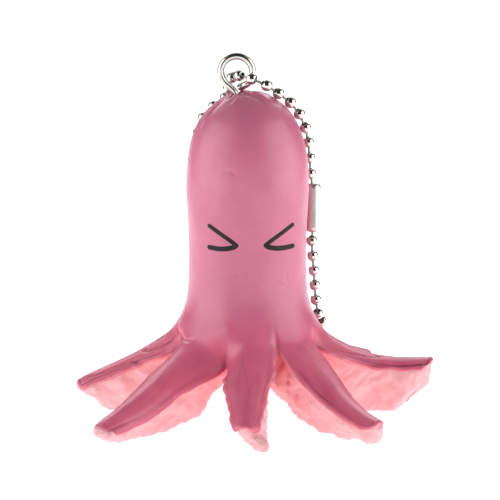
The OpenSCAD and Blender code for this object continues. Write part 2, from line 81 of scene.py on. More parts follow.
# Outline from the dome's top down, as shares of BODY_R and BODY_H
OUTLINE = [
    (0, 1), (0.2, 0.996), (0.4, 0.981), (0.59, 0.957), (0.75, 0.923), (0.872, 0.878), (0.952, 0.822),
    (0.992, 0.755), (1, 0.69), (0.976, 0.6), (0.96, 0.52), (0.968, 0.44), (0.992, 0.375), (1.05, 0.328),
    (1.16, 0.287),
]
KEEL = [0, 0.1, 0.22, 0.34, 0.46, 0.58, 0.68, 0.78, 0.9, 0.985]
FOOT_FROM, FOOT_TO = 0.64, 0.78
ROOT_PULL = (6.4, -5.28)
TIP_PULL = 9.0
TAPER_FROM, FREE_FROM = 0.1, 0.4
EDGE_BACK = 0.3

LEG_COUNT = len(LEGS)
ACROSS = 32
COLUMNS = LEG_COUNT * ACROSS
TRUNK_STEPS = 14
TRUNK_ROWS = len(OUTLINE) * TRUNK_STEPS
LEG_ROWS = 96


def mix(a, b, t):
    return a * (1 - t) + b * t


def smooth(t):
    c = np.clip(t, 0, 1)
    return c * c * (3 - 2 * c)


def unit(v):
    v = np.asarray(v, float)
    return v / np.maximum(np.linalg.norm(v, axis=-1, keepdims=True), 1e-12)


def wobble(points, size, seed):
    """Smooth noise from about -0.7 to 0.7 at points in mm.

    Its features are about size across: one number, or one for each axis.
    """
    scale = np.broadcast_to(np.asarray(size, float), (3,))
    moved = np.asarray(points, float).reshape(-1, 3) / scale + np.array([17.3, -9.1, 4.7]) * seed
    values = np.array([noise.noise(Vector(p)) for p in moved])
    return values.reshape(np.asarray(points).shape[:-1])


def catmull(points, t):
    """A smooth curve through points (first axis), at t counted in points."""
    last = len(points) - 1
    i = np.clip(np.floor(t).astype(int), 0, last - 1)
    f = (t - i).reshape((-1,) + (1,) * (points.ndim - 1))
    a, b, c, d = points[np.maximum(i - 1, 0)], points[i], points[i + 1], points[np.minimum(i + 2, last)]
    return 0.5 * (2 * b + (c - a) * f + (2 * a - 5 * b + 4 * c - d) * f**2 + (3 * b - 3 * c + d - a) * f**3)


def slit_turn(k, side):
    """Angle in degrees from leg k to the slit on the given side, -1 or 1."""
    a = SLITS[k if side > 0 else k - 1][0] - LEGS[k][0]
    return a - 360 * round(a / 360)


def per_side(k, u, of):
    return np.where(u > 0, of(k, 1), of(k, -1))


def slit_height(k, side):
    return SLITS[k if side > 0 else k - 1][1]


def polar(rho, az, z):
    a = np.radians(az)
    return np.stack(np.broadcast_arrays(rho * np.sin(a), -rho * np.cos(a), z), -1)


def leg_point(k, rho, side, z):
    a = math.radians(LEGS[k][0])
    s, c = math.sin(a), math.cos(a)
    return np.stack(np.broadcast_arrays(rho * s + side * c, -rho * c + side * s, z), -1)


def ridge(k, s):
    """Distance out and height of leg k's ridge at share s."""
    _, reach, tip_z, slope = LEGS[k][:4]
    a = math.radians(slope)
    start, tip = np.array([ROOT_RHO, ROOT_Z]), np.array([reach, tip_z])
    b, c = start + ROOT_PULL, tip - TIP_PULL * np.array([math.cos(a), math.sin(a)])
    s = np.asarray(s, float)[..., None]
    p = start * (1 - s) ** 3 + 3 * b * s * (1 - s) ** 2 + 3 * c * s * s * (1 - s) + tip * s**3
    return p[..., 0], p[..., 1]


TIP_ROUND_FROM = 0.88
TIP_ROUND_IN = 0.24
TIP_ROUND_BACK = 0.9


def leg_surface(k, s, u):
    """Points of leg k's upper surface, s along it and u from -1 to 1 across it."""
    rho, z = ridge(k, s)
    turn = np.radians(per_side(k, u, slit_turn))
    half = mix(LEG_W, TIP_W, smooth((s - TAPER_FROM) / (1 - TAPER_FROM))) / 2
    end = np.clip((s - TIP_ROUND_FROM) / (1 - TIP_ROUND_FROM), 0, 1)
    half = half * (1 - TIP_ROUND_IN * end**3)
    free = smooth(s / FREE_FROM)
    at_root = SLIT_RHO * np.cos(turn) + rho - ROOT_RHO
    out = mix(at_root, rho - EDGE_BACK - TIP_ROUND_BACK * end**2 * u * u, free)
    side = mix(SLIT_RHO * np.sin(turn), np.sign(u) * half, free)
    hang = np.where(u > 0, LEGS[k][7] * 4 * s * (1 - s), 0)
    up = mix(per_side(k, u, slit_height) + z - ROOT_Z, z - CROWN - hang, free)
    c = u * u
    surface = leg_point(k, mix(rho, out, c), side * np.abs(u), mix(z, up, c))
    # at the root the surface meets the body's last row exactly
    az = LEGS[k][0] + np.abs(u) * np.degrees(turn)
    root = polar(mix(ROOT_RHO, SLIT_RHO, c), az, mix(ROOT_Z, per_side(k, u, slit_height), c))
    at_zero = leg_point(k, mix(ROOT_RHO, SLIT_RHO * np.cos(turn), c), SLIT_RHO * np.sin(turn) * np.abs(u),
                        mix(ROOT_Z, per_side(k, u, slit_height), c))
    return surface + (root - at_zero) * (1 - smooth(s / 0.25))[..., None]


def trunk_surface(v, k, u):
    """Points of the body above leg k, v counted in outline rows down to the slits' ring."""
    az = LEGS[k][0] + np.abs(u) * per_side(k, u, slit_turn)
    rows = [np.stack(np.broadcast_arrays(r * BODY_R, z * BODY_H * np.ones_like(u)), -1) for r, z in OUTLINE]
    rows[0] = rows[0] * np.array([0, 1.0])
    c = u * u
    rows.append(np.stack([mix(ROOT_RHO, SLIT_RHO, c), mix(ROOT_Z, per_side(k, u, slit_height), c)], -1))
    past = leg_surface(k, np.full_like(u, 1 / 9), u)
    rows.append(np.stack([np.hypot(past[:, 0], past[:, 1]), past[:, 2]], -1))
    mirrored = rows[1] * np.array([-1, 1.0])
    curve = catmull(np.array([mirrored] + rows), v + 1)
    return polar(curve[..., 0], az[None, :], curve[..., 1])


# ---- Meshes ----
def grid_faces(index, flip=False):
    """Quads between the rows and columns of a 2D array of vertex numbers."""
    a, b, c, d = index[:-1, :-1], index[1:, :-1], index[1:, 1:], index[:-1, 1:]
    quads = np.stack([a, b, c, d], -1).reshape(-1, 4)
    return quads[:, ::-1] if flip else quads


def vertex_normals(points, faces):
    p = points[faces]
    n = np.cross(p[:, 2] - p[:, 0], p[:, 3] - p[:, 1])
    total = np.zeros_like(points)
    for q in range(4):
        np.add.at(total, faces[:, q], n)
    return unit(total)


def relaxed(points, faces, weight, rounds):
    """Points eased towards their neighbours' average, by a share per vertex."""
    edges = np.concatenate([faces[:, [q, (q + 1) % 4]] for q in range(4)])
    edges = np.concatenate([edges, edges[:, ::-1]])
    count = np.bincount(edges[:, 0], minlength=len(points))[:, None]
    for _ in range(rounds):
        total = np.zeros_like(points)
        np.add.at(total, edges[:, 0], points[edges[:, 1]])
        points = mix(points, total / np.maximum(count, 1), weight[:, None])
    return points


def welded(points, faces):
    """Joins vertices at the same place and drops faces with no area."""
    _, first, number = np.unique(np.round(points, 4), axis=0, return_index=True, return_inverse=True)
    faces = number.reshape(-1)[faces]
    kept = []
    for f in faces:
        around = [f[i] for i in range(4) if f[i] != f[i - 1]]
        if len(around) > 2 and len(set(around)) == len(around):
            kept.append(around)
    return points[first], kept


def make_mesh(name, points, faces, material, values=None):
    """A smooth-shaded object from points in mm about the body's axis, with optional per-vertex values."""
    mesh = bpy.data.meshes.new(name)
    if isinstance(faces, np.ndarray):
        faces = [[v for i, v in enumerate(f) if v != f[i - 1]] for f in faces.tolist()]
    mesh.from_pydata(((points + SHIFT) * MM).tolist(), [], faces)
    mesh.polygons.foreach_set("use_smooth", np.ones(len(mesh.polygons), bool))
    for label, data in (values or {}).items():
        mesh.attributes.new(label, "FLOAT", "POINT").data.foreach_set("value", np.asarray(data, np.float32))
    mesh.materials.append(material)
    mesh.update()
    obj = bpy.data.objects.new(name, mesh)
    bpy.context.scene.collection.objects.link(obj)
    return obj


def stand_for(obj, node):
    """The piece takes a CAD node's place: it moves with that node's body, and the node is hidden."""
    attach(obj, NODE_BODY[node])
    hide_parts(node)
    return obj


def lathe(profile, sides, closed=False):
    """Points and quads of a profile of (radius, height) turned about Z."""
    profile = np.asarray(profile, float)
    a = np.linspace(0, 2 * math.pi, sides, endpoint=False)
    r, z = profile[:, :1], profile[:, 1:]
    points = np.stack([r * np.cos(a), r * np.sin(a), z + 0 * a], -1).reshape(-1, 3)
    rows = len(profile)
    index = np.arange(rows * sides).reshape(rows, sides)
    index = np.concatenate([index, index[:, :1]], 1)
    if closed:
        index = np.concatenate([index, index[:1]], 0)
    return points, grid_faces(index)


def along(direction):
    """Rotation that takes Z to a direction and leaves Y level, as the CAD source does."""
    x, y, z = unit(direction)
    lean, turn = math.acos(z), math.atan2(y, x)
    tilt = np.array(Matrix.Rotation(lean, 3, "Y"))
    return np.array(Matrix.Rotation(turn, 3, "Z")) @ tilt


def arc(centre, radius, start, end, steps):
    """Points (radius, height) on an arc between two angles in degrees."""
    a = np.radians(np.linspace(start, end, steps))
    return [(centre[0] + radius * math.cos(t), centre[1] + radius * math.sin(t)) for t in a]


# ---- Materials ----
def colour(r, g, b):
    """A colour for a shader from sRGB values of 0 to 255."""
    linear = [((c / 255 + 0.055) / 1.055) ** 2.4 if c > 10 else c / 255 / 12.92 for c in (r, g, b)]
    return (*linear, 1.0)


class Look:
    """A Principled material whose colour, roughness and relief come from noise in object space."""

    def __init__(self, name):
        self.material = bpy.data.materials.new(name)
        self.material.use_nodes = True
        self.nodes = self.material.node_tree.nodes
        self.links = self.material.node_tree.links
        self.shader = self.nodes["Principled BSDF"]
        self.place = self.nodes.new("ShaderNodeTexCoord").outputs["Object"]

    def set(self, **values):
        for socket, value in values.items():
            self.shader.inputs[socket.replace("_", " ")].default_value = value
        return self

    def noise(self, size_mm, detail=3.0, roughness=0.55):
        node = self.nodes.new("ShaderNodeTexNoise")
        node.inputs["Scale"].default_value = 1 / (size_mm * MM)
        node.inputs["Detail"].default_value = detail
        node.inputs["Roughness"].default_value = roughness
        self.links.new(self.place, node.inputs["Vector"])
        return node.outputs["Fac"]

    def ramp(self, source, stops):
        node = self.nodes.new("ShaderNodeValToRGB")
        ramp = node.color_ramp
        while len(ramp.elements) < len(stops):
            ramp.elements.new(0.5)
        for element, (at, value) in zip(ramp.elements, stops):
            element.position = at
            element.color = value if len(value) == 4 else (*value, 1)
        self.links.new(source, node.inputs["Fac"])
        return node.outputs["Color"]

    def value(self, label):
        node = self.nodes.new("ShaderNodeAttribute")
        node.attribute_name = label
        return node.outputs["Fac"]

    def blend(self, share, a, b):
        node = self.nodes.new("ShaderNodeMix")
        node.data_type = "RGBA"
        self.links.new(share, node.inputs["Factor"])
        self.links.new(a, node.inputs["A"])
        self.links.new(b, node.inputs["B"])
        return node.outputs["Result"]

    def base(self, output):
        self.links.new(output, self.shader.inputs["Base Color"])
        return self

    def rough(self, source, low, high):
        node = self.nodes.new("ShaderNodeMapRange")
        node.inputs["To Min"].default_value = low
        node.inputs["To Max"].default_value = high
        self.links.new(source, node.inputs["Value"])
        self.links.new(node.outputs["Result"], self.shader.inputs["Roughness"])
        return self

    def relief(self, *layers):
        """Bumps from (noise, depth in mm) pairs, the coarsest first."""
        normal = None
        for source, depth in layers:
            node = self.nodes.new("ShaderNodeBump")
            node.inputs["Distance"].default_value = depth * MM
            self.links.new(source, node.inputs["Height"])
            if normal is not None:
                self.links.new(normal, node.inputs["Normal"])
            normal = node.outputs["Normal"]
        self.links.new(normal, self.shader.inputs["Normal"])
        return self


def skin_look():
    look = Look("pink_satin_skin")
    body = look.ramp(look.noise(9, 4), [(0.3, colour(200, 106, 137)), (0.7, colour(211, 118, 148))])
    legs = look.ramp(look.noise(6, 4), [(0.3, colour(215, 98, 127)), (0.7, colour(228, 112, 140))])
    lip = look.ramp(look.noise(1.2), [(0.3, colour(222, 116, 136)), (0.7, colour(236, 136, 152))])
    # painted shade: a dark red blended in along the creases, folds, dents and the lip's inner line
    painted_crease_shade = look.ramp(look.noise(2), [(0.3, colour(138, 34, 62)), (0.7, colour(156, 46, 74))])
    pink = look.blend(look.value("legs"), body, legs)
    look.base(look.blend(look.value("painted_crease_shade"), look.blend(look.value("lip"), pink, lip), painted_crease_shade))
    look.set(Subsurface_Weight=0.22, Subsurface_Radius=(1.0, 0.32, 0.34), Subsurface_Scale=1.3 * MM,
             Specular_IOR_Level=0.5, Coat_Weight=0.18, Coat_Roughness=0.2)
    look.rough(look.noise(3.5, 4), 0.3, 0.44)
    return look.relief((look.noise(1.6, 3), 0.035), (look.noise(0.28, 2), 0.006)).material


def foam_look():
    look = Look("pale_foam")
    pale = look.ramp(look.noise(5, 4), [(0.3, colour(244, 174, 180)), (0.7, colour(250, 194, 197))])
    pore_colours = [(0.28, colour(232, 150, 158)), (0.42, colour(250, 190, 194))]
    pores = look.ramp(look.noise(0.45, 2, 0.7), pore_colours)
    # painted glow: an orange-red blended in near the slits' tops, for light glowing through the foam there
    painted_glow_coral = look.ramp(look.noise(3), [(0.3, colour(238, 96, 100)), (0.7, colour(246, 116, 118))])
    look.base(look.blend(look.value("painted_glow_share"), look.blend(look.noise(2.2, 2), pale, pores), painted_glow_coral))
    look.set(Subsurface_Weight=0.2, Subsurface_Radius=(1.0, 0.5, 0.45), Subsurface_Scale=0.8 * MM,
             Specular_IOR_Level=0.25)
    look.rough(look.noise(2), 0.5, 0.72)
    return look.relief((look.noise(1.1, 4), 0.06), (look.noise(0.2, 2), 0.012)).material


def ink_look():
    look = Look("charcoal_ink")
    look.base(look.ramp(look.noise(1.5, 3), [(0.3, colour(30, 24, 28)), (0.7, colour(44, 37, 41))]))
    look.set(Specular_IOR_Level=0.25)
    look.rough(look.noise(0.6), 0.5, 0.65)
    return look.relief((look.noise(0.3), 0.01)).material


def metal_look(name, dark, light, low, high, grain_mm, depth):
    look = Look(name)
    look.base(look.ramp(look.noise(grain_mm * 3, 3), [(0.3, colour(*dark)), (0.7, colour(*light))]))
    look.set(Metallic=1.0)
    look.rough(look.noise(grain_mm, 3), low, high)
    return look.relief((look.noise(grain_mm, 3), depth)).material


def plastic_look():
    look = Look("white_moulded_plastic")
    look.base(look.ramp(look.noise(3, 3), [(0.3, colour(226, 226, 222)), (0.7, colour(238, 238, 234))]))
    look.set(Subsurface_Weight=0.1, Subsurface_Radius=(1.0, 0.9, 0.8), Subsurface_Scale=0.8 * MM)
    look.rough(look.noise(1), 0.38, 0.55)
    return look.relief((look.noise(0.3, 3), 0.012)).material


SKIN = skin_look()
FOAM = foam_look()
INK = ink_look()
BALL_NICKEL = metal_look("polished_nickel", (206, 202, 196), (222, 219, 214), 0.07, 0.16, 0.5, 0.002)
WIRE_NICKEL = metal_look("drawn_nickel_wire", (200, 196, 190), (218, 214, 208), 0.1, 0.22, 0.6, 0.003)
SHEET_NICKEL = metal_look("rolled_nickel_sheet", (214, 209, 200), (228, 224, 216), 0.24, 0.36, 0.5, 0.002)
# painted shade: the pins' nickel is much darker than the balls', for where they sit between the balls; they
# are also rougher
PIN_NICKEL = metal_look("dull_nickel_pins_painted_shade", (120, 116, 112), (150, 146, 140), 0.25, 0.4, 0.3, 0.003)
PLASTIC = plastic_look()

# ---- Skin: base surface ----
# Columns gather towards a leg's edges, where its lip and folds are
EVEN_U = np.linspace(-1, 1, ACROSS + 1)
U = 0.55 * EVEN_U + 0.45 * np.sin(EVEN_U * math.pi / 2)
S = np.linspace(0, 1, LEG_ROWS + 1)[1:]
V = np.arange(TRUNK_ROWS + 1) / TRUNK_STEPS


def skin_layout():
    """Vertex numbers: one apex, the body's rings, then each leg's rows; with each vertex's leg, u and s."""
    apex = 1
    ring = apex + np.arange(TRUNK_ROWS * COLUMNS).reshape(TRUNK_ROWS, COLUMNS)
    legs = apex + TRUNK_ROWS * COLUMNS + np.arange(LEG_COUNT * LEG_ROWS * (ACROSS + 1)).reshape(
        LEG_COUNT, LEG_ROWS, ACROSS + 1
    )
    return ring, legs


RING, LEG_AT = skin_layout()


def leg_index(k):
    """Vertex numbers of leg k's rows, the body's last ring included."""
    columns = (k * ACROSS + np.arange(ACROSS + 1)) % COLUMNS
    return np.concatenate([RING[-1:, columns], LEG_AT[k]])


# How far the smoothing of a leg's root reaches, in shares of the leg and in steps of the body's outline
ROOT_SPREAD_LEG = 0.16
ROOT_SPREAD_TRUNK = 1.6


def skin_base():
    count = LEG_AT.max() + 1
    points, place = np.zeros((count, 3)), np.zeros((count, 3))
    points[0] = (0, 0, BODY_H)
    for k in range(LEG_COUNT):
        columns = RING[:, k * ACROSS:(k + 1) * ACROSS]
        points[columns] = trunk_surface(V[1:], k, U[:-1])
        place[columns] = np.stack(np.broadcast_arrays(k, U[None, :-1], V[1:, None] - len(OUTLINE)), -1)
        s, u = np.meshgrid(S, U, indexing="ij")
        points[LEG_AT[k]] = leg_surface(k, s, u)
        place[LEG_AT[k]] = np.stack(np.broadcast_arrays(k, u, s), -1)
    wrapped = np.concatenate([RING, RING[:, :1]], 1)
    cap = np.stack([np.zeros(COLUMNS, int), wrapped[0, :-1], wrapped[0, 1:], np.zeros(COLUMNS, int)], -1)
    faces = np.concatenate([cap, grid_faces(wrapped)] + [grid_faces(leg_index(k)) for k in range(LEG_COUNT)])
    spread = np.where(place[:, 2] >= 0, ROOT_SPREAD_LEG, ROOT_SPREAD_TRUNK)
    near_root = np.exp(-((place[:, 2] / spread) ** 2))
    near_root *= smooth((1 - np.abs(place[:, 1])) / 0.3)
    return relaxed(points, faces, 0.6 * near_root, 40), faces, place


# ---- Skin: folds, gathers and dents ----
NECK = np.array([-2.2, 0.0])
# Folds running out from the neck: azimuth, half width, start, length, height
NECK_FOLDS = [
    (-58, 0.34, 0.8, 10.5, 0.26), (-74, 0.4, 0.6, 9, -0.24), (-30, 0.4, 0.8, 5, -0.2),
    (-12, 0.35, 0.8, 4.5, 0.2), (10, 0.4, 0.8, 5.5, -0.22), (28, 0.4, 1.0, 6, 0.2),
    (46, 0.45, 1.5, 9, -0.24), (60, 0.4, 2, 9, 0.2),
    (78, 0.5, 1, 6, -0.2), (-100, 0.4, 0.8, 8, 0.2), (150, 0.5, 0.8, 7, 0.2), (-150, 0.5, 0.8, 7, -0.2),
]
# Small curved dents on the body: azimuth, height, radius, middle angle, half span in degrees, depth
DENTS = [
    (-17, 50.3, 1.4, 100, 60, 0.09), (-41, 48.8, 1.8, 250, 55, 0.08), (37, 38.2, 1.9, 270, 42, 0.1),
    (-56, 23.4, 6.5, 265, 32, 0.16), (30, 24.5, 4.0, 80, 35, 0.08), (-12, 27.5, 3.2, 110, 40, 0.06),
    (52, 30.0, 2.6, 200, 40, 0.07), (150, 46, 3, 60, 50, 0.09), (215, 30, 4, 240, 45, 0.1),
    (110, 52, 2.2, 140, 60, 0.08),
]
DENT_WIDTH = 0.34
# How wrinkled each leg is, and how far its edges wander
WRINKLED = [0.6, 1.1, 0.22, 0.2, 0.3, 1.1, 0.6, 0.5]
# Width in mm of the rolled edge, with a sunk line along its inner side darkened with painted shade
ROLL_W = 0.62
# How clearly each leg's edge is rolled
ROLLED = [0.6, 1.0, 0.4, 0.35, 0.6, 1.0, 0.6, 0.5]


def thin_lines(points, size, seed, width):
    """1 along thin wandering lines, falling to 0 beside them."""
    return np.clip(1 - np.abs(wobble(points, size, seed)) / width, 0, 1)


def skin_relief(points, place):
    """How far each vertex stands out along its normal, in mm, and how much painted shade it gets in creases,
    dents, folds and along the lip's inner line.
    """
    k, u, s = place[:, 0].astype(int), place[:, 1], place[:, 2]
    az = np.degrees(np.arctan2(points[:, 0], -points[:, 1]))
    z = points[:, 2]
    trunk = s < 0
    rise = 0.16 * wobble(points, 9, 1) + 0.05 * wobble(points, 3.5, 2)
    # gathers round the wire's neck, and the dimple it stands in
    off = points[:, :2] - NECK
    far, turn = np.hypot(*off.T), np.arctan2(off[:, 1], off[:, 0])
    top = smooth((z - 56) / 6)
    gather = np.cos(9 * turn + 5 * wobble(points, 3.5, 3)) + 0.6 * np.cos(5 * turn + 1.7)
    rise += top * (0.2 * gather * np.exp(-(((far - 2.6) / 2.4) ** 2)) - 0.75 * np.exp(-((far / 1.15) ** 2)))
    for towards, width, start, length, height in NECK_FOLDS:
        a = math.radians(towards - 90)
        ahead, beside_fold = off @ (math.cos(a), math.sin(a)), off @ (-math.sin(a), math.cos(a))
        fold = np.exp(-((beside_fold / width) ** 2)) * smooth((ahead - start) / 1.2)
        fold = fold * smooth((length - ahead) / 3)
        rise += top * height * fold
    # a low swelling at the right of the neck and a hollow at its left
    swelling = np.exp(-((points[:, 0] - 3) / 2.2) ** 2)
    hollow = np.exp(-((points[:, 0] + 7) / 2.4) ** 2)
    rise += 0.3 * top * (swelling - hollow) * np.exp(-((points[:, 1] / 5) ** 2))
    # creases running up from the slits, sunk and darkened with painted shade
    beside = (1 - np.abs(u)) * 5.9
    slit_z = np.array([SLITS[i if v > 0 else i - 1][1] for i, v in zip(k, u)])
    up = np.clip(z - slit_z, 0, None)
    down = np.clip(s, 0, 1) * 24
    pinch = np.exp(-((beside / 0.55) ** 2) - (up / 2.6) ** 2 - (down / 1.6) ** 2)
    rise -= 0.3 * pinch
    # small curved dents, sunk and darkened with painted shade
    for at, height, radius, middle, span, depth in DENTS:
        a = np.radians((az - at + 180) % 360 - 180) * BODY_R
        r, t = np.hypot(a, z - height), np.degrees(np.arctan2(z - height, a))
        turned = (t - middle + 180) % 360 - 180
        dent = np.exp(-(((r - radius) / DENT_WIDTH) ** 2) - (turned / span) ** 4) * trunk
        rise -= 1.7 * depth * dent
        pinch = np.maximum(pinch, 2.2 * depth * dent)
    # long folds down each leg, and finer ones across it; the long folds' lines are also darkened with painted
    # shade
    local = np.stack([u * 4.6, np.hypot(points[:, 0], points[:, 1]) - ROOT_RHO, k * 31.0], -1)
    on_leg = smooth((s + 0.6) / 0.7) * (1 - 0.6 * smooth((s - 0.75) / 0.25))
    amount = np.array(WRINKLED)[k] * on_leg
    folds = thin_lines(local, (2.2, 17, 9), 4, 0.07)
    cross = thin_lines(local, (5, 1.6, 9), 5, 0.06)
    rise += amount * (0.12 * wobble(local, (1.8, 9, 9), 6) - 0.2 * folds - 0.04 * cross)
    rise += 0.04 * wobble(points, (14, 14, 5), 7) * trunk
    half = mix(LEG_W, TIP_W, smooth((s - TAPER_FROM) / (1 - TAPER_FROM))) / 2
    inside = np.minimum((1 - np.abs(u)) * half, (1 - s) * 24) + 0.12 * wobble(points, 4, 12)
    rolled = np.array(ROLLED)[k] * smooth(s / 0.3) * np.clip(0.8 + 0.9 * wobble(points, 7, 13), 0.15, 1)
    line = rolled * np.exp(-(((inside - ROLL_W) / 0.16) ** 2))
    rise += 0.1 * rolled * np.exp(-(((inside - ROLL_W / 2) / 0.3) ** 2)) - 0.2 * line
    # the second value is the painted shade for creases, dents, fold lines and the lip's inner line
    return rise, np.clip(0.3 * pinch + 0.75 * line + 0.7 * np.minimum(amount, 1) * folds, 0, 1)


EDGE_WANDER = 0.14


def wandering_edges(points, place):
    """Legs' edges wave a little sideways and up and down."""
    k, u, s = place[:, 0].astype(int), place[:, 1], np.clip(place[:, 2], 0, 1)
    share = u**8 * smooth(s / 0.15)
    az = np.radians([LEGS[i][0] for i in k])
    across = np.stack([np.cos(az), np.sin(az), 0 * az], -1) * np.sign(u)[:, None]
    moved = points + across * (EDGE_WANDER * (1.4 + 1.6 * (k == 3)) * wobble(points, 2.0, 8) * share)[:, None]
    moved[:, 2] += EDGE_WANDER * wobble(points, 2.9, 9) * share
    end = smooth((s - 0.9) / 0.1)
    out = np.stack([np.sin(az), -np.cos(az), 0 * az], -1)
    return moved + out * (0.35 * wobble(points, 2.2, 10) * end)[:, None]


def edge_chain():
    """Vertex numbers round the skin's whole border, in order of azimuth, with each one's leg and side."""
    numbers, legs, sides, shares = [], [], [], []
    for k in range(LEG_COUNT):
        index = leg_index(k)
        parts = [(index[:-1, 0], -1), (index[-1, :], 0), (index[-2:0:-1, -1], 1)]
        for part, side in parts:
            numbers += list(part)
            legs += [k] * len(part)
            sides += [side] * len(part)
        shares += list(np.r_[0, S[:-1], np.ones(ACROSS + 1), S[-2::-1]])
    return np.array(numbers), np.array(legs), np.array(sides), np.array(shares)


def rolling(values, reach):
    """Average of each value with its neighbours round a closed chain."""
    return sum(np.roll(values, i, 0) for i in range(-reach, reach + 1)) / (2 * reach + 1)


# The lip's section: how far out past the skin's edge and how far below it, in mm
LIP = [
    (0.07, 0.1), (0.2, 0.1), (0.34, 0.19), (0.42, 0.36),
    (0.42, 0.56), (0.32, 0.72), (0.1, 0.78), (-0.5, 0.6),
]
# How dark the painted shade along the lip's inner side is
LIP_SHADE = 0.45
# The leg whose right edge stands out furthest
FLASH_LEG = 3
# Height where the legs' colour is full, and how far above it that fades out, in mm
LEG_COLOUR_TOP = 26
LEG_COLOUR_FADE = 11
FOAM_TUCK = (-0.02, 0.4)


def build_skin():
    points, faces, place = skin_base()
    points = wandering_edges(points, place)
    rise, dark = skin_relief(points, place)
    points = points + vertex_normals(points, faces) * rise[:, None]
    normals = vertex_normals(points, faces)
    chain, legs, sides, shares = edge_chain()
    edge = points[chain]
    tangent = unit(rolling(np.roll(edge, -1, 0) - np.roll(edge, 1, 0), 2))
    up = unit(rolling(normals[chain], 2))
    out = unit(rolling(unit(np.cross(tangent, up)), 2))
    scale = 1 + 0.35 * wobble(edge, 3, 11)
    flash = (legs == FLASH_LEG) & (sides > 0)
    scale = rolling(scale + 0.7 * flash * smooth((shares - 0.2) / 0.3), 4)
    rows, lip = [points], [np.zeros(len(points))]
    index = [chain]
    start = len(points)
    for n, (o, d) in enumerate(LIP):
        rows.append(edge + (out * o - up * d) * scale[:, None])
        lip.append(np.full(len(edge), 0.0 if n == 0 else 1.0))
        index.append(start + n * len(edge) + np.arange(len(edge)))
    index = np.array(index)
    index = np.concatenate([index, index[:, :1]], 1)
    faces = np.concatenate([faces, grid_faces(index)])
    # painted shade for each vertex: the skin's creases, dents and folds, then the lip's inner line along the
    # first lip row
    painted_shade_share = np.zeros(sum(map(len, rows)))
    painted_shade_share[:len(points)] = dark
    painted_shade_share[index[1]] = LIP_SHADE
    every = np.concatenate(rows)
    on_legs = smooth((LEG_COLOUR_TOP - every[:, 2]) / LEG_COLOUR_FADE)
    marks = {"lip": np.concatenate(lip), "painted_crease_shade": painted_shade_share, "legs": on_legs}
    stand_for(make_mesh("outer_skin", every, faces, SKIN, marks), "skin")
    tuck = edge + out * FOAM_TUCK[0] - up * FOAM_TUCK[1]
    return points, faces, tuck


# ---- Foam ----
FOAM_TOP_COLUMNS = 6
FOAM_DEPTH = 0.75
FOAM_TRUNK_ROWS = 45
CUT_COLUMNS = 14
CUT_BULGE = 0.5
TIP_RINGS = 8
TIP_BACK = 0.2
TIP_BULGE = 0.5
MIN_FACE = 3
GROWN_BY = 1 / 3
# Foam bumps: feature size and height in mm
BUMPS = [(5.0, 1.0), (2.1, 0.6), (1.0, 0.25)]


def keel_height(k, share):
    past = np.clip((share - FOOT_TO) / (KEEL[-1] - FOOT_TO), 0, 1)
    rise = LEGS[k][2] - LEGS[k][6]
    return HUB_Z * np.clip(1 - share / FOOT_FROM, 0, 1) ** 2 + rise * past ** LEGS[k][5]


def keel_point(k, s, side):
    share = np.interp(s, np.linspace(0, 1, len(KEEL)), KEEL)
    half = FOOT_W / 2 * np.clip(s / GROWN_BY, 0, 1)
    return leg_point(k, share * LEGS[k][1], side * half + LEGS[k][4] * smooth(share), keel_height(k, share))


def foam_leg(k, edges):
    """Points of leg k's foam as loops: across the top, down the right cut face, the foot, up the left."""
    s = np.r_[0, S]
    left, right = edges
    top_u = np.linspace(-1, 1, FOAM_TOP_COLUMNS + 1)[1:-1]
    grid_s, grid_u = np.meshgrid(s, top_u, indexing="ij")
    top = leg_surface(k, grid_s, grid_u) - (0, 0, FOAM_DEPTH)
    top[0] = polar(mix(ROOT_RHO, SLIT_RHO, top_u**2) - FOAM_DEPTH, LEGS[k][0] + np.abs(top_u)
                   * per_side(k, top_u, slit_turn), mix(ROOT_Z, per_side(k, top_u, slit_height), top_u**2))
    w = np.linspace(0, 1, CUT_COLUMNS + 1)[None, :, None]
    bulge = (CUT_BULGE * np.clip(s / GROWN_BY, 0, 1))[:, None]
    cuts = []
    for edge, side in ((right, 1), (left, -1)):
        keel = keel_point(k, s, side)
        face = mix(edge[:, None], keel[:, None], w)
        sideways = leg_point(k, 0, side * bulge * 4 * (w * (1 - w))[..., 0], 0.0)
        cuts.append(face + sideways)
    right_cut, left_cut = cuts
    foot = [mix(right_cut[:, -1], left_cut[:, -1], t)[:, None] for t in (1 / 3, 2 / 3)]
    body = np.concatenate([left[:, None], top, right_cut, *foot, left_cut[:, :0:-1]], 1)
    rho, z = ridge(k, 1.0)
    middle = leg_point(k, rho - TIP_BACK, LEGS[k][4] / 2, z - max(LEGS[k][6], MIN_FACE) / 2)
    out = leg_point(k, 1.0, 0.0, 0.0)
    ends = []
    for ring in range(1, TIP_RINGS + 1):
        f = ring / TIP_RINGS
        ends.append(mix(body[-1], middle, f) + out * TIP_BULGE * (1 - (1 - f) ** 2))
    return np.concatenate([body, np.array(ends)])


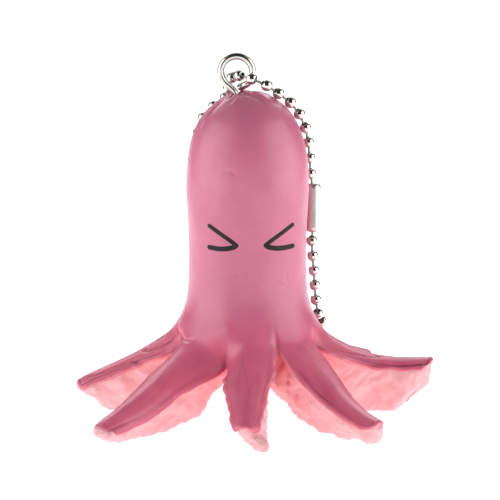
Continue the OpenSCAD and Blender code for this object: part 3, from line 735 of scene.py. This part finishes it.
def build_foam(tuck):
    """The foam under the skin, with the cut faces, keels and feet that show."""
    chain, _, _, _ = edge_chain()
    per_leg = len(chain) // LEG_COUNT
    points, faces, soft, start = [], [], [], 0
    top_rings = []
    for k in range(LEG_COUNT):
        mine = tuck[k * per_leg:(k + 1) * per_leg]
        after = tuck[((k + 1) * per_leg) % len(tuck)]
        left = mine[:LEG_ROWS + 1]
        right = np.concatenate([[after], mine[LEG_ROWS + ACROSS:][::-1]])
        rows = foam_leg(k, (left, right))
        loop = rows.shape[1]
        across = FOAM_TOP_COLUMNS
        # the end's upper edge follows the skin's tip
        tip = mine[LEG_ROWS:LEG_ROWS + ACROSS + 1]
        picked = tip[np.linspace(0, ACROSS, across + 1).round().astype(int)]
        shift = picked - rows[LEG_ROWS, :across + 1]
        for ring in range(TIP_RINGS + 1):
            rows[LEG_ROWS + ring, :across + 1] += shift * (1 - ring / TIP_RINGS)
        index = start + np.arange(rows.shape[0] * loop).reshape(rows.shape[0], loop)
        faces.append(grid_faces(np.concatenate([index, index[:, :1]], 1)))
        points.append(rows.reshape(-1, 3))
        top_rings.append(rows[0, :across])
        shown = np.zeros(rows.shape[:2])
        down = np.minimum(np.arange(loop) - across, loop - np.arange(loop)).clip(0, None) / 3
        shown[:] = smooth(down)[None, :]
        shown[0] = 0
        shown[LEG_ROWS + 1:] = smooth(np.arange(1, TIP_RINGS + 1) / 3)[:, None]
        soft.append(shown.reshape(-1))
        start += rows.shape[0] * loop
    ring = np.concatenate(top_rings)
    v = np.linspace(0, len(OUTLINE), FOAM_TRUNK_ROWS + 1)[:-1]
    trunk = []
    for k in range(LEG_COUNT):
        u = np.linspace(-1, 1, FOAM_TOP_COLUMNS + 1)[:-1]
        outer = trunk_surface(v, k, u)
        core = np.stack([0 * outer[..., 0], 0 * outer[..., 0], np.minimum(outer[..., 2], 54)], -1)
        trunk.append(outer + FOAM_DEPTH * unit(core - outer))
    trunk = np.concatenate([np.concatenate(trunk, 1), ring[None]])
    index = start + np.arange(trunk.shape[0] * trunk.shape[1]).reshape(trunk.shape[:2])
    faces.append(grid_faces(np.concatenate([index, index[:, :1]], 1)))
    points.append(trunk.reshape(-1, 3))
    soft.append(np.zeros(trunk.shape[0] * trunk.shape[1]))
    points, soft, faces = np.concatenate(points), np.concatenate(soft), np.concatenate(faces)
    normals = vertex_normals(points, faces)
    rise = sum(height * wobble(points, size, 20 + n) for n, (size, height) in enumerate(BUMPS))
    rise -= 0.3 * thin_lines(points, 4.5, 25, 0.07)
    points = points + normals * (rise * soft)[:, None]
    points[:, 2] = np.maximum(points[:, 2], 0)
    points, faces = welded(points, faces)
    # painted glow: how much of the foam's orange-red each vertex near a slit's top gets
    tops = np.array([polar(SLIT_RHO, az, z) for az, z in SLITS])
    near = np.linalg.norm(points[:, None] - tops[None], axis=2).min(1)
    painted_glow_share = np.exp(-((near / 4.5) ** 2))
    obj = stand_for(make_mesh("foam_body", points, faces, FOAM, {"painted_glow_share": painted_glow_share}), "foam_core")
    return obj


# ---- Printed eyes ----
FACE_X, EYE_Z = 0.7, 36.8
EYE_IN, EYE_OUT, EYE_UP = 3.0, 8.3, 3.6
UPPER_STROKE = [(EYE_IN, 0.0), (3.7, 0.62), (5.6, 1.88), (EYE_OUT, EYE_UP)]
LOWER_STROKE = [(EYE_IN, 0.0), (3.6, -0.42), (5.2, -0.8), (6.8, -0.88), (EYE_OUT, -0.8)]
UPPER_W, LOWER_W = 0.98, 1.12
PRINT_STEP = 0.09
PRINT_RISE = 0.05
PRINT_EDGE = 0.14


def stroke_distance(p, path, width):
    """Distance of 2D points from a stroke's edge, negative inside, and the way out."""
    best = np.full(len(p), 1e9)
    way = np.zeros_like(p)
    dense = catmull(np.array(path, float), np.linspace(0, len(path) - 1, 40))
    for a, b in zip(dense[:-1], dense[1:]):
        t = np.clip(((p - a) @ (b - a)) / ((b - a) @ (b - a)), 0, 1)
        gap = p - (a + t[:, None] * (b - a))
        d = np.linalg.norm(gap, axis=1) - width / 2
        nearer = d < best
        best = np.where(nearer, d, best)
        way = np.where(nearer[:, None], unit(gap), way)
    return best, way


def eye_distance(p):
    a, way_a = stroke_distance(p, UPPER_STROKE, UPPER_W)
    b, way_b = stroke_distance(p, LOWER_STROKE, LOWER_W)
    return np.minimum(a, b), np.where((a < b)[:, None], way_a, way_b)


def build_eye(name, side, surface):
    xs = np.arange(EYE_IN - 1, EYE_OUT + 1, PRINT_STEP)
    zs = np.arange(-2, EYE_UP + 1, PRINT_STEP)
    gx, gz = np.meshgrid(xs, zs, indexing="ij")
    flat = np.stack([gx.ravel(), gz.ravel()], -1)
    d, way = eye_distance(flat)
    for _ in range(3):  # points just outside are drawn in to the edge
        outside = d > 0
        flat[outside] -= (way * np.minimum(d, 3 * PRINT_STEP)[:, None])[outside]
        d2, way2 = eye_distance(flat)
        d = np.where(outside & (d < 2.5 * PRINT_STEP), d2, d)
        way = way2
    index = np.arange(len(flat)).reshape(gx.shape)
    d0, _ = eye_distance(np.stack([gx.ravel(), gz.ravel()], -1))
    quads = grid_faces(index)
    quads = quads[(d0[quads].min(1) < 0)]
    used, quads = np.unique(quads, return_inverse=True)
    quads = quads.reshape(-1, 4)
    spots = []
    depth, _ = eye_distance(flat[used])
    for (x, z), inside in zip(flat[used], -depth):
        hit, normal, _, _ = surface.ray_cast(Vector((FACE_X + side * x, -40, EYE_Z + z)), Vector((0, 1, 0)))
        rise = -0.03 + (PRINT_RISE + 0.03) * float(smooth(inside / PRINT_EDGE))
        spots.append(hit + normal * rise)
    points = np.array(spots)
    obj = make_mesh(name, points, quads[:, ::-1] if side > 0 else quads, INK)
    return stand_for(obj, "eye_prints")


# ---- Screw eye and anchor plug ----
SHANK_X = -2.2
WIRE_R = 1.45 / 2
RING_R, RING_Z = 3.2, 70.3
NECK_Z = 66.0
SHANK_END_Z, PLUG_TOP_Z, PLUG_BOTTOM_Z = 53.0, 63.0, 51.0
THREAD_DEPTH = 0.25
BEND_REACH = 1.5
END_POINT = np.array([0.75, 1.4, 67.1])
WIRE_SIDES = 28


def bezier(a, b, c, t):
    return a * (1 - t) ** 2 + 2 * b * t * (1 - t) + c * t * t


def wire_path():
    tangent = math.acos(RING_R / (RING_Z - NECK_Z))

    def ring_at(a):
        return np.array([RING_R * math.sin(a), 0, RING_Z - RING_R * math.cos(a)])

    neck, left, right = np.array([0, 0, NECK_Z]), ring_at(-tangent), ring_at(tangent)
    from_neck = neck + BEND_REACH * unit(left - neck)
    path = [np.array([0, 0, z]) for z in (62.2, 63.4)]
    path += [bezier(neck - (0, 0, BEND_REACH), neck, from_neck, t) for t in np.linspace(0, 1, 12)]
    path += [ring_at(a) for a in np.linspace(-tangent, tangent - 2 * math.pi, 80)]
    for t in np.linspace(0, 1, 12)[1:]:
        path.append(mix(right, END_POINT, t) - np.array([0, END_POINT[1] * (t - t * t), 0]))
    return np.array(path)


def swept(path, radii, sides):
    """A tube along a path with a radius at each point, its frame carried along without twist."""
    heading = unit(np.gradient(path, axis=0))
    across = unit(np.cross(heading[0], (0.0, 1.0, 0.0)))
    a = np.linspace(0, 2 * math.pi, sides, endpoint=False)
    rows = []
    for p, way, r in zip(path, heading, radii):
        across = unit(across - way * (across @ way))
        other = np.cross(way, across)
        rows.append(p + r * (np.cos(a)[:, None] * across + np.sin(a)[:, None] * other))
    index = np.arange(len(path) * sides).reshape(len(path), sides)
    return np.concatenate(rows), grid_faces(np.concatenate([index, index[:, :1]], 1), flip=True)


def with_round_end(path, radius, steps=6):
    """The path and radii of a tube whose far end is a half ball."""
    way = unit(path[-1] - path[-2])
    t = np.linspace(0, math.pi / 2, steps + 1)[1:]
    ends = path[-1] + way * (radius * np.sin(t))[:, None]
    radii = np.r_[np.full(len(path), radius), radius * np.maximum(np.cos(t), 0.002)]
    return np.concatenate([path, ends]), radii


def thread():
    """The shank's wood-screw thread, a ridge that climbs round it, fading out to a blunt point."""
    a = np.linspace(0, 2 * math.pi, 25)
    z = np.linspace(SHANK_END_Z, PLUG_TOP_Z - 1.2, 150)
    gz, ga = np.meshgrid(z, a, indexing="ij")
    wave = np.abs(((gz - ga / (2 * math.pi)) % 1.0) - 0.5) * 2
    r = WIRE_R + THREAD_DEPTH * np.clip(1.6 - 2.4 * wave, 0, 1)
    r = r * np.clip((gz - SHANK_END_Z) / 1.2, 0.02, 1) ** 0.6
    points = np.stack([r * np.cos(ga), r * np.sin(ga), gz], -1)
    index = np.arange(points.shape[0] * points.shape[1]).reshape(points.shape[:2])
    return points.reshape(-1, 3), grid_faces(index, flip=True)


def joined(*parts):
    points, faces, start = [], [], 0
    for p, f in parts:
        points.append(p)
        faces.append(f + start)
        start += len(p)
    return np.concatenate(points), np.concatenate(faces)


# Radius left open where a turned profile meets its axis
AXIS_GAP = 0.05
COLLAR_SIDES = 28


def build_screw_eye():
    wire = swept(*with_round_end(wire_path(), WIRE_R), WIRE_SIDES)
    low, high, wide = PLUG_TOP_Z - 1.6, PLUG_TOP_Z - 0.2, WIRE_R + THREAD_DEPTH
    outline = [
        (AXIS_GAP, low), (WIRE_R, low), (wide - 0.06, low + 0.16), (wide, low + 0.24),
        (wide, high - 0.08), (wide - 0.08, high), (AXIS_GAP, high),
    ]
    collar = lathe(outline, COLLAR_SIDES)
    points, faces = joined(wire, thread(), (collar[0], collar[1][:, ::-1]))
    points = points + (SHANK_X, 0, 0)
    return stand_for(make_mesh("screw_eye_wire", points, faces, WIRE_NICKEL), "screw_eye")


PLUG_R = 2.5
FLANGE_OUT = 1.0
RIBS = 6
RIB_DEPTH = 0.05
PLUG_SIDES = 48
# The plug's bore past the thread, and the places of its floor and barb
BORE_PLAY = 0.02
PLUG_FLOOR = 1.5
BARB_BELOW_TOP = 5


def build_plug():
    """The ribbed plastic plug that the thread bites into, with its bottom flange and barb."""
    barrel, flange, bore = PLUG_R, PLUG_R + FLANGE_OUT, WIRE_R + THREAD_DEPTH + BORE_PLAY
    low, top = PLUG_BOTTOM_Z, PLUG_TOP_Z
    barb = top - BARB_BELOW_TOP
    profile = [
        (bore, low + PLUG_FLOOR), (AXIS_GAP, low + PLUG_FLOOR), (AXIS_GAP, low), (flange - 0.2, low),
        (flange, low + 0.2), (flange, low + 0.9), (flange - 0.1, low + 1.05), (barrel + 0.1, low + 1.95),
        (barrel, low + 2.2),
    ]
    profile += [(barrel, z) for z in np.linspace(low + 2.6, barb - 0.2, 6)]
    profile += [
        (barrel, barb), (flange - 0.08, barb + 0.55), (flange, barb + 0.7), (flange, barb + 1.3),
        (flange - 0.1, barb + 1.5), (barrel + 0.05, barb + 2.55), (barrel, barb + 2.8),
        (barrel, top - 0.2), (barrel - 0.2, top), (bore + 0.12, top), (bore, top - 0.12),
    ]
    points, faces = lathe(profile, PLUG_SIDES, closed=True)
    a, r = np.arctan2(points[:, 1], points[:, 0]), np.hypot(points[:, 0], points[:, 1])
    plain = (np.abs(r - barrel) < 0.05)[:, None]
    points[:, :2] *= np.where(plain, 1 - RIB_DEPTH * (0.5 - 0.5 * np.cos(RIBS * a))[:, None], 1)
    points = points + (SHANK_X, 0, 0)
    return stand_for(make_mesh("anchor_plug_moulded", points, faces, PLASTIC), "anchor_plug")


# ---- Ball chain ----
BALL_R, BALL_WALL, PIN_R = 1.2, 0.22, 0.25
BALL_COUNT = 46
PLAY = 0.04
BALL_SIDES = 40
FOLD_BALLS = {8, 14, 5, 17, 2, 20, 45, 24, 42, 27, 38, 31, 36, 33}
FOLD_DEGREES = 10


def node_points(node):
    co = np.array([v.co for v in frame["nodes"][node].data.vertices], float)
    return co / MM - SHIFT


def ball_centre(node):
    """Centre of a hollow CAD ball, whose vertices all lie on its outer or inner sphere."""
    p = node_points(node)
    centre = (p.min(0) + p.max(0)) / 2
    for _ in range(12):
        away = np.linalg.norm(p - centre, axis=1)
        target = np.where(away > BALL_R - BALL_WALL / 2, BALL_R, BALL_R - BALL_WALL)
        step, *_ = np.linalg.lstsq(-(p - centre) / away[:, None], target - away, rcond=None)
        centre = centre + step
    return centre


def ball_node(i):
    return f"ball_{i:02d}"


BALLS = [ball_centre(ball_node(i)) for i in range(1, BALL_COUNT + 1)]


def link_way(i):
    """Direction from ball i to the next, counted from 1."""
    return unit(BALLS[i] - BALLS[i - 1])


# How far the rim of a ball's hole rolls in
HOLE_ROLL = 0.07


def ball_shell(hole, open_below):
    """Profile of a hollow ball with rolled-in holes, from inside the upper one round to the lower one."""
    inner, roll = BALL_R - BALL_WALL, HOLE_ROLL
    lean = math.degrees(math.asin((hole + roll) / BALL_R))
    low = -90 + lean if open_below else -89.5
    outside = arc((0, 0), BALL_R, 90 - lean, low, 17)
    top = outside[0][1]
    rim = [(hole, math.sqrt(inner**2 - hole**2)), (hole, top - roll), (hole + 0.02, top - 0.02)]
    inside = arc((0, 0), inner, low, 90 - math.degrees(math.asin(hole / inner)), 7)
    end = [(r, -z) for r, z in rim[::-1]][:2] if open_below else []
    return rim[1:] + outside + end + inside


def build_ball(i):
    first, last = i == 1, i == BALL_COUNT
    if first or last:
        axis, bend = (link_way(1) if first else -link_way(BALL_COUNT - 1)), 0.0
    else:
        axis = unit(link_way(i) + link_way(i - 1))
        bend = math.acos(min(1, float(link_way(i) @ link_way(i - 1)))) / 2
    tilt = bend + math.radians(FOLD_DEGREES if i in FOLD_BALLS else 0)
    hole = BALL_R * math.sin(tilt) + PIN_R + PLAY
    points, faces = lathe(ball_shell(hole, not (first or last)), BALL_SIDES, closed=True)
    # the seam where the sheet was closed: one meridian sunk a little
    a = np.arctan2(points[:, 1], points[:, 0])
    away = np.linalg.norm(points, axis=1)
    seam = (np.abs(a) < 0.02) & (away > BALL_R - 0.05)
    points[seam] *= 1 - 0.016
    placed = points @ along(axis).T + BALLS[i - 1]
    node = ball_node(i)
    return stand_for(make_mesh(node + "_shell", placed, faces[:, ::-1], BALL_NICKEL), node)


PIN_SIDES = 20
HEAD_R = 0.74


def pin_profile(length):
    half = [
        (0.02, 0.38), (0.4, 0.39), (HEAD_R - 0.06, 0.42), (HEAD_R, 0.48), (HEAD_R - 0.02, 0.56),
        (HEAD_R - 0.1, 0.6), (PIN_R + 0.08, 0.62), (PIN_R + 0.02, 0.68), (PIN_R, 0.78),
    ]
    middle = [(PIN_R * 0.94, length / 2)]
    return half + middle + [(r, length - z) for r, z in half[::-1]]


def build_pins(node):
    """All the link pins that move together: those whose middles lie inside the CAD node's own pins."""
    cad = node_points(node)
    parts = []
    for i in range(1, BALL_COUNT):
        start, end = BALLS[i - 1], BALLS[i]
        if np.linalg.norm(cad - (start + end) / 2, axis=1).min() < 1.15:
            way = end - start
            points, faces = lathe(pin_profile(np.linalg.norm(way)), PIN_SIDES)
            parts.append((points @ along(way).T + start, faces[:, ::-1]))
    points, faces = joined(*parts)
    return stand_for(make_mesh(node + "_turned", points, faces, PIN_NICKEL), node)


SLEEVE_L, SLEEVE_R, SLEEVE_WALL = 10.2, 1.7, 0.25
SLOT_W, WINDOW_R, WINDOW_OUT, END_HOLE_R = 0.9, 1.3, 1.43, 0.6
SHOULDER = 0.95
SLEEVE_COLUMNS = 44


def build_connector():
    """The sleeve rolled from sheet: round shoulders, a slot along the rear and a window for each end ball."""
    top, bottom = BALLS[0], BALLS[-1]
    half = SLEEVE_L / 2
    quarter = arc((SLEEVE_R - SHOULDER, half - SHOULDER), SHOULDER, 90, 0, 9)
    upper = [(END_HOLE_R, half - 0.06), (END_HOLE_R + 0.05, half)] + quarter[:-1]
    straight = [(SLEEVE_R, z) for z in np.linspace(half - SHOULDER, SHOULDER - half, 61)]
    profile = np.array(upper + straight + [(r, -z) for r, z in upper[::-1]])
    inside = profile - np.array([SLEEVE_WALL, 0])
    inside[:, 0] = np.maximum(inside[:, 0], END_HOLE_R + 0.02)
    inside[:, 1] = np.clip(inside[:, 1], SLEEVE_WALL - half, half - SLEEVE_WALL)
    layers = []
    for shell in (profile, inside):
        z = profile[:, 1]
        window = np.sqrt(np.clip(WINDOW_R**2 - (np.abs(z) - WINDOW_OUT) ** 2, 0, None))
        opening = np.maximum(SLOT_W / 2, window) / np.maximum(shell[:, 0], SLOT_W / 2)
        gap = np.arcsin(np.clip(opening, 0, 0.999))
        t = np.linspace(0, 1, SLEEVE_COLUMNS + 1)
        a = math.pi / 2 + gap[:, None] + t * (2 * math.pi - 2 * gap[:, None])
        radius, height = shell[:, :1], shell[:, 1:]
        layers.append(np.stack([radius * np.cos(a), radius * np.sin(a), height + 0 * a], -1))
    outer, inner = layers
    rows, columns = outer.shape[:2]
    number = np.arange(rows * columns).reshape(rows, columns)
    far = number + rows * columns
    faces = [grid_faces(number), grid_faces(far, flip=True)]
    for line, flip in ((0, True), (-1, False)):
        faces.append(grid_faces(np.stack([number[line], far[line]]), flip))
    for line, flip in ((0, False), (-1, True)):
        faces.append(grid_faces(np.stack([number[:, line], far[:, line]]), flip))
    points = np.concatenate([outer.reshape(-1, 3), inner.reshape(-1, 3)])
    # half a turn about its length puts the slot at the rear
    points = points * (-1, -1, 1)
    placed = points @ along(top - bottom).T + (top + bottom) / 2
    obj = make_mesh("connector_rolled", placed, np.concatenate(faces), SHEET_NICKEL)
    return stand_for(obj, "connector")


# ---- Studio ----
CAMERA_AT = Vector((-0.7, -442.32, 116.48)) * MM
CAMERA_TO = Vector((-0.7, 0.0, 33.7)) * MM
LENS = 157.95
SENSOR_W = 36
# Where lights and cards point, in mm
STUDIO_AIM = (0, 0, 35)
CARD_BLACK = (0.01, 0.01, 0.01, 1)
# Half the floor's side, in metres
FLOOR_HALF = 6.0
FLOOR_GLOW = 0.82
WORLD_STRENGTH = 0.25


def build_camera():
    data = bpy.data.cameras.new("camera")
    data.lens, data.sensor_width = LENS, SENSOR_W
    data.clip_start, data.clip_end = 0.01, 20
    camera = bpy.data.objects.new("camera", data)
    bpy.context.scene.collection.objects.link(camera)
    camera.location = CAMERA_AT
    camera.rotation_euler = (CAMERA_TO - CAMERA_AT).to_track_quat("-Z", "Y").to_euler()
    bpy.context.scene.camera = camera


def put_in_studio(obj, at):
    """Puts a light or card at a place in mm, facing the object, out of the camera's sight."""
    obj.location = Vector(at) * MM
    obj.rotation_euler = (Vector(STUDIO_AIM) - Vector(at)).to_track_quat("-Z", "Y").to_euler()
    obj.visible_camera = False
    bpy.context.scene.collection.objects.link(obj)


def rectangle(name, w, h):
    """A flat mesh that reaches w and h each way, in metres."""
    mesh = bpy.data.meshes.new(name)
    mesh.from_pydata([(-w, -h, 0), (w, -h, 0), (w, h, 0), (-w, h, 0)], [], [(0, 1, 2, 3)])
    return mesh


def softbox(name, at, size, power):
    data = bpy.data.lights.new(name, "AREA")
    data.shape, data.size, data.size_y = "RECTANGLE", size[0] * MM, size[1] * MM
    data.energy = power
    put_in_studio(bpy.data.objects.new(name, data), at)


def card(name, at, size):
    """A black card that the camera doesn't see, for the dark bands in skin and metal."""
    mesh = rectangle(name, size[0] / 2 * MM, size[1] / 2 * MM)
    black = bpy.data.materials.new(name)
    black.use_nodes = True
    black.node_tree.nodes["Principled BSDF"].inputs["Base Color"].default_value = CARD_BLACK
    black.node_tree.nodes["Principled BSDF"].inputs["Roughness"].default_value = 1
    mesh.materials.append(black)
    obj = bpy.data.objects.new(name, mesh)
    put_in_studio(obj, at)


def build_floor():
    mesh = rectangle("floor", FLOOR_HALF, FLOOR_HALF)
    table = bpy.data.materials.new("pale_table")
    table.use_nodes = True
    shader = table.node_tree.nodes["Principled BSDF"]
    shader.inputs["Base Color"].default_value = (0.9, 0.9, 0.9, 1)
    shader.inputs["Roughness"].default_value = 0.9
    shader.inputs["Emission Color"].default_value = (1, 1, 1, 1)
    shader.inputs["Emission Strength"].default_value = FLOOR_GLOW
    mesh.materials.append(table)
    obj = bpy.data.objects.new("floor", mesh)
    bpy.context.scene.collection.objects.link(obj)


def build_studio():
    build_camera()
    build_floor()
    world = bpy.data.worlds.new("studio")
    world.use_nodes = True
    world.node_tree.nodes["Background"].inputs["Color"].default_value = (1, 1, 1, 1)
    world.node_tree.nodes["Background"].inputs["Strength"].default_value = WORLD_STRENGTH
    bpy.context.scene.world = world
    softbox("softbox_left", (-460, -120, 140), (520, 560), 2.0)
    softbox("softbox_right", (460, -110, 140), (540, 560), 2.15)
    softbox("softbox_back", (0, 420, 320), (600, 300), 1.2)
    card("card_front", (0, -600, 330), (900, 560))
    card("card_top", (0, -160, 520), (520, 420))
    card("card_left", (-430, 330, 120), (300, 420))
    card("card_right", (430, 330, 120), (300, 420))
    bpy.context.scene.view_settings.view_transform = "Standard"


build_studio()
skin_points, skin_faces, tuck_line = build_skin()
build_foam(tuck_line)
inner_faces = [f for f in skin_faces.tolist() if max(f) < len(skin_points)]
skin_tree = BVHTree.FromPolygons(skin_points.tolist(), inner_faces)
build_eye("eye_print_left", -1, skin_tree)
build_eye("eye_print_right", 1, skin_tree)
build_screw_eye()
build_plug()
for number in range(1, BALL_COUNT + 1):
    build_ball(number)
for pins in sorted(n for n in NODE_BODY if n.startswith("link_pins_")):
    build_pins(pins)
build_connector()
